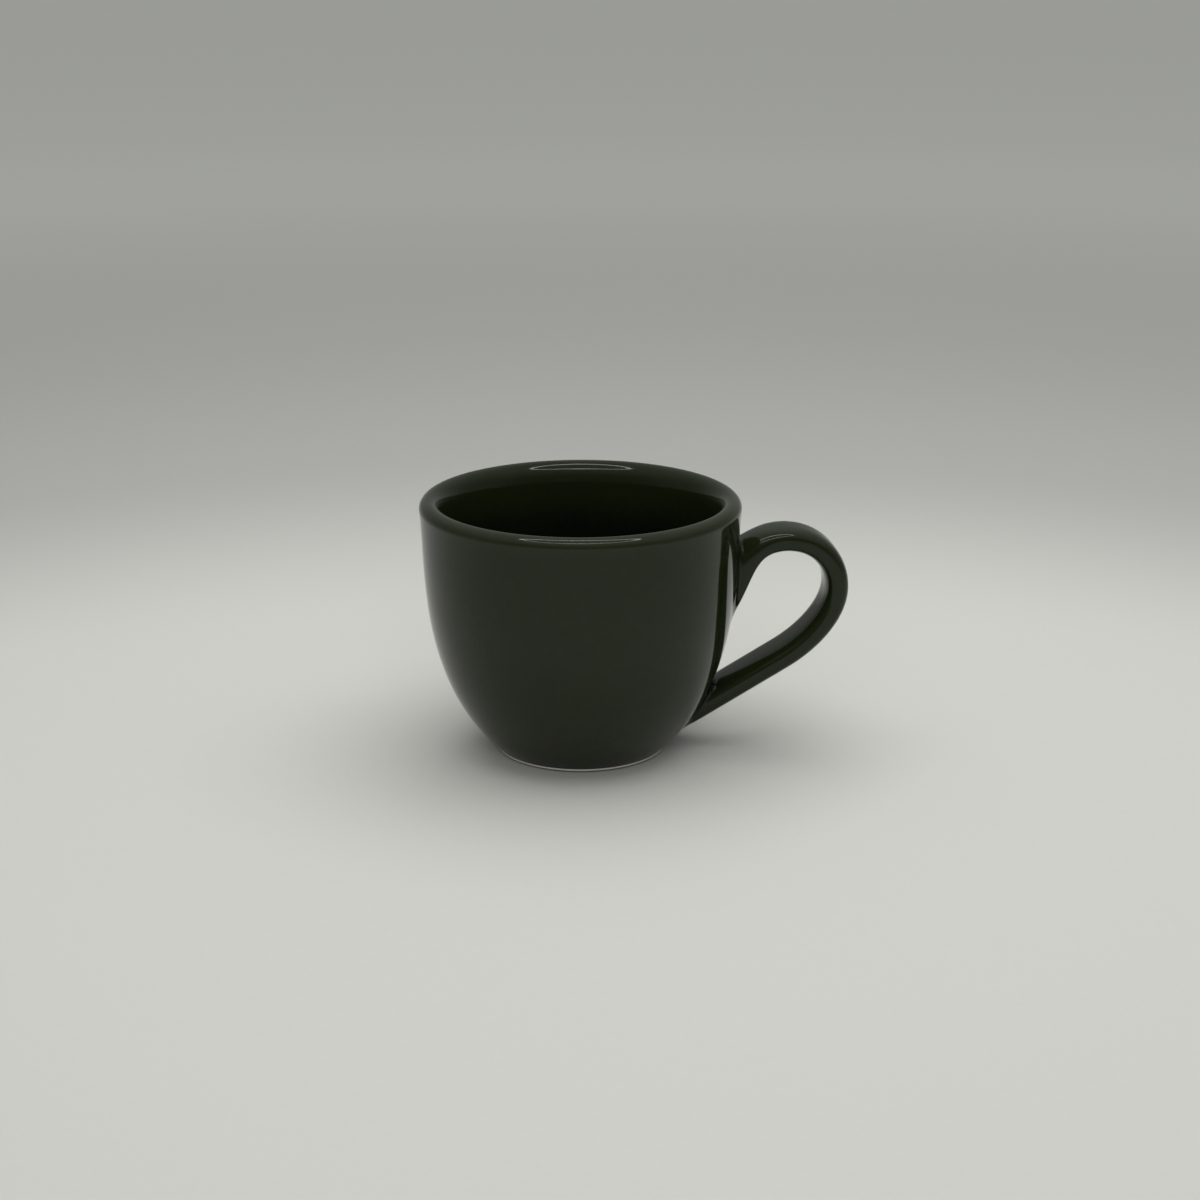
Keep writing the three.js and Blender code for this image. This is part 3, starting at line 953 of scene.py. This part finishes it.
def table_material():
    """Pale table whose far parts, away from the lamp, keep the grey of the surroundings."""
    material, bench, shader = new_material("pale table")
    place = bench.put("ShaderNodeTexCoord").outputs["Object"]
    from_middle = bench.put("ShaderNodeVectorMath", {0: place, 1: (axis_x, table_middle_y, 0)},
                            operation="SUBTRACT").outputs["Vector"]
    distance = Amount(bench, bench.put("ShaderNodeVectorMath", {0: from_middle},
                                       operation="LENGTH").outputs["Value"])
    far = eased_share(distance, far_from, far_to)
    direction = bench.put("ShaderNodeVectorMath", {0: from_middle}, operation="NORMALIZE")
    front = front_share(bench, direction.outputs["Vector"])
    ray = bench.put("ShaderNodeLightPath")
    seen = Amount(bench, ray.outputs["Is Camera Ray"])
    mirrored = Amount(bench, ray.outputs["Is Glossy Ray"])
    glow = far * (seen + mirrored * (front * -1.0 + 1.0))
    bench.wire(glow, shader.inputs["Emission Strength"])
    shader.inputs["Emission Color"].default_value = far_glow
    grain = bench.put("ShaderNodeTexNoise", {"Vector": place, "Scale": 1 / table_grain, "Detail": 3.0})
    plain = bench.put("ShaderNodeMix", {
        "Factor": eased_share(distance, pale_to, grey_from), 6: table_tone, 7: table_far_tone},
        data_type="RGBA")
    tone = bench.put("ShaderNodeMix", {
        "Factor": Amount(bench, grain.outputs["Fac"]) * table_grain_share, 6: plain.outputs[2],
        7: (0, 0, 0, 1)}, data_type="RGBA")
    bench.wire(tone.outputs[2], shader.inputs["Base Color"])
    shader.inputs["Roughness"].default_value = table_roughness
    shader.inputs["Specular IOR Level"].default_value = table_shine
    return material


def front_share(bench, direction):
    """How far a direction points towards the viewer's side."""
    towards = bench.put("ShaderNodeVectorMath", {0: direction, 1: to_viewer}, operation="DOT_PRODUCT")
    return eased_share(Amount(bench, towards.outputs["Value"]), front_from, front_to)


# The setting

table_middle_y = -0.112
table_radius = 4.0
table_rings = 24
table_steps = 96
table_grain = 1.5 * MM
table_grain_share = 0.03
table_roughness = 0.7
table_shine = 0.1
table_tone = (0.70, 0.70, 0.665, 1)
table_far_tone = (0.50, 0.505, 0.48, 1)
pale_to = 0.205
grey_from = 0.36
far_from = 0.45
far_to = 1.0
far_glow = (0.138, 0.141, 0.133, 1)

view_turn = math.radians(-5)
view_place = (-51.28 * MM, -504.31 * MM, 186.34 * MM)
view_tilt = math.radians(72.927)
view_lens = 78
view_sensor = 36
to_viewer = Vector((math.sin(view_turn), -math.cos(view_turn), 0))

room_back = (0.26, 0.263, 0.255, 1)
room_sides = (0.20, 0.202, 0.195, 1)
room_top = (0.45, 0.452, 0.44, 1)
room_front = (0.08, 0.08, 0.075, 1)
room_seen = (0.33, 0.34, 0.32, 1)

# How far a direction points to the front, to the back or up, where those tones set in and are full
front_from, front_to = 0.1, 0.8
back_from, back_to = 0.2, 0.9
top_from, top_to = 0.3, 0.85

ring_lamp_height = 252 * MM
ring_lamp_forward = 64 * MM
ring_lamp_half_depth = 77 * MM
ring_lamp_half_width = 104 * MM
ring_lamp_band = 18 * MM
ring_lamp_side_band = 7 * MM
ring_lamp_brightness = 10.0
ring_lamp_strips = 40

# Soft lamps: place to the right of the cup's axis, towards the viewer and up, size and brightness
box_lamp = {"aside": 40 * MM, "front": -50 * MM, "up": 500 * MM, "size": 600 * MM, "bright": 1.62}
room_lamp = {"aside": 0.0, "front": 950 * MM, "up": 500 * MM, "size": 600 * MM, "bright": 2.0}


def table():
    mesh = bpy.data.meshes.new("table")
    shape = bmesh.new()
    for ring in range(table_rings + 1):
        radius = table_radius * (ring / table_rings) ** 2
        for step in range(table_steps):
            angle = math.tau * step / table_steps
            shape.verts.new((axis_x + radius * math.cos(angle), radius * math.sin(angle), 0))
    shape.verts.ensure_lookup_table()
    for ring in range(table_rings):
        for step in range(table_steps):
            a = ring * table_steps + step
            b = ring * table_steps + (step + 1) % table_steps
            corners = (a, a + table_steps, b + table_steps, b)
            shape.faces.new([shape.verts[i] for i in corners])
    bmesh.ops.remove_doubles(shape, verts=shape.verts, dist=weld_distance)
    bmesh.ops.recalc_face_normals(shape, faces=shape.faces)
    shape.to_mesh(mesh)
    shape.free()
    mesh.materials.append(table_material())
    top = bpy.data.objects.new("table", mesh)
    bpy.context.scene.collection.objects.link(top)


def ring_lamp():
    """An oval ring of soft strips, level above the front of the cup."""
    sideways = to_viewer.cross(Vector((0, 0, 1)))
    middle = Vector((axis_x, 0, ring_lamp_height)) + to_viewer * ring_lamp_forward

    def spot(turn):
        angle = math.tau * turn / ring_lamp_strips
        return (middle + sideways * (ring_lamp_half_width * math.cos(angle))
                + to_viewer * (ring_lamp_half_depth * math.sin(angle)))

    for strip in range(ring_lamp_strips):
        along = spot(strip + 0.5) - spot(strip - 0.5)
        lamp = bpy.data.lights.new(f"ring_lamp_{strip:02d}", "AREA")
        lamp.shape = "RECTANGLE"
        lamp.size = along.length
        at_side = abs(math.cos(math.tau * strip / ring_lamp_strips))
        lamp.size_y = ring_lamp_band + (ring_lamp_side_band - ring_lamp_band) * at_side
        lamp.energy = ring_lamp_brightness * math.pi * lamp.size * lamp.size_y
        holder = bpy.data.objects.new(lamp.name, lamp)
        holder.location = spot(strip)
        holder.rotation_euler = (0, 0, math.atan2(along.y, along.x))
        holder.visible_camera = False
        holder.visible_diffuse = False
        bpy.context.scene.collection.objects.link(holder)


def soft_lamp(name, values):
    """An even soft light on the cup, which is too dim and wide to show in the glaze."""
    lamp = bpy.data.lights.new(name, "AREA")
    lamp.shape = "SQUARE"
    lamp.size = values["size"]
    lamp.energy = values["bright"] * math.pi * values["size"] ** 2
    holder = bpy.data.objects.new(name, lamp)
    aim = Vector((axis_x, 0, 0))
    holder.location = (aim + to_viewer.cross(Vector((0, 0, -1))) * values["aside"]
                       + to_viewer * values["front"] + Vector((0, 0, values["up"])))
    holder.rotation_euler = (aim - holder.location).to_track_quat("-Z", "Y").to_euler()
    holder.visible_camera = False
    holder.visible_glossy = False
    bpy.context.scene.collection.objects.link(holder)


def surround_light():
    """A soft room that is darker low down on the viewer's side."""
    world = bpy.data.worlds.new("soft room")
    world.use_nodes = True
    bench = Bench(world.node_tree)
    background = world.node_tree.nodes["Background"]
    direction = bench.put("ShaderNodeTexCoord").outputs["Generated"]
    height = Amount(bench, bench.put("ShaderNodeSeparateXYZ", {"Vector": direction}).outputs["Z"])
    towards = Amount(bench, bench.put("ShaderNodeVectorMath", {0: direction, 1: to_viewer},
                                      operation="DOT_PRODUCT").outputs["Value"])
    behind = bench.put("ShaderNodeMix", {
        "Factor": eased_share(towards * -1.0, back_from, back_to), 6: room_sides, 7: room_back},
        data_type="RGBA")
    level = bench.put("ShaderNodeMix", {
        "Factor": front_share(bench, direction), 6: behind.outputs[2], 7: room_front},
        data_type="RGBA")
    light = bench.put("ShaderNodeMix", {
        "Factor": eased_share(height, top_from, top_to), 6: level.outputs[2], 7: room_top},
        data_type="RGBA")
    seen = bench.put("ShaderNodeLightPath").outputs["Is Camera Ray"]
    colour = bench.put("ShaderNodeMix", {"Factor": seen, 6: light.outputs[2], 7: room_seen},
                       data_type="RGBA")
    bench.wire(colour.outputs[2], background.inputs["Color"])
    background.inputs["Strength"].default_value = 1.0
    bpy.context.scene.world = world


def viewpoint():
    eye = bpy.data.cameras.new("view")
    eye.lens = view_lens
    eye.sensor_width = view_sensor
    holder = bpy.data.objects.new("view", eye)
    holder.location = view_place
    holder.rotation_euler = (view_tilt, 0, view_turn)
    bpy.context.scene.collection.objects.link(holder)
    bpy.context.scene.camera = holder


# The cup

lathe = lathe_tree()
glaze_effect = glaze_group()
# The pooled colour also paints the shade inside the cup
olive_glaze = glaze_material("olive glaze", glaze_effect, {
    "Thin Colour": (0.022, 0.026, 0.013, 1), "Body Colour": (0.0124, 0.0174, 0.0056, 1),
    "Pooled And Shaded Colour": (0.0052, 0.0068, 0.0040, 1), "Mottle": 0.25, "Gloss Roughness": 0.07,
    "Peel Height": 0.004 * MM, "Wave Height": 0.075 * MM, "Pit Depth": 0.02 * MM})
slip_glaze = glaze_material("olive glaze over slip", glaze_effect, {
    "Thin Colour": (0.021, 0.025, 0.012, 1), "Body Colour": (0.0120, 0.0168, 0.0054, 1),
    "Pooled And Shaded Colour": (0.0052, 0.0068, 0.0040, 1), "Mottle": 0.3, "Gloss Roughness": 0.08,
    "Peel Height": 0.004 * MM, "Wave Height": 0.035 * MM, "Pit Depth": 0.02 * MM})
bare_clay = bare_clay_material()

bowl = made_by(bowl_tree(lathe), "bowl_body", {
    "Axis X": axis_x, "Segments": turn_segments, "Material": olive_glaze,
    "Rim Radius": rim_radius, "Height": cup_height, "Wall": wall_thickness,
    "Foot Radius": foot_radius, "Glaze Line": glaze_line, "Glaze Bead": glaze_bead,
    "Wall Rise": wall_rise, "Foot Pull": foot_pull, "Lip Lean": lip_lean, "Lip Pull": lip_pull,
    "Lip Roll": lip_roll, "Lip Wall": lip_wall,
    "Floor Level": floor_level, "Floor Rounding": floor_rounding,
    "Recess Height": recess_height, "Recess Radius": foot_radius - ring_width,
    "Recess Rounding": recess_rounding})
ring = made_by(foot_ring_tree(lathe), "bare_foot_ring", {
    "Axis X": axis_x, "Segments": turn_segments, "Material": bare_clay,
    "Outer Radius": foot_radius - ring_inset, "Inner Radius": foot_radius - ring_width - ring_inset,
    "Top": glaze_line + ring_sunk, "Edge": ring_edge, "Undercut": ring_undercut})
handle, upper_bead, lower_bead = handle_pieces(olive_glaze, slip_glaze)

for piece, node, slot in (
        (bowl, "bowl", "glaze"), (ring, "foot_ring", "bare_clay"), (handle, "handle", "glaze"),
        (upper_bead, "upper_slip_joint", "glazed_slip"),
        (lower_bead, "lower_slip_joint", "glazed_slip")):
    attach(piece, "root")
    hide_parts(node)

table()
ring_lamp()
soft_lamp("box_lamp", box_lamp)
soft_lamp("room_lamp", room_lamp)
surround_light()
viewpoint()
bpy.context.scene.view_settings.view_transform = "Standard"
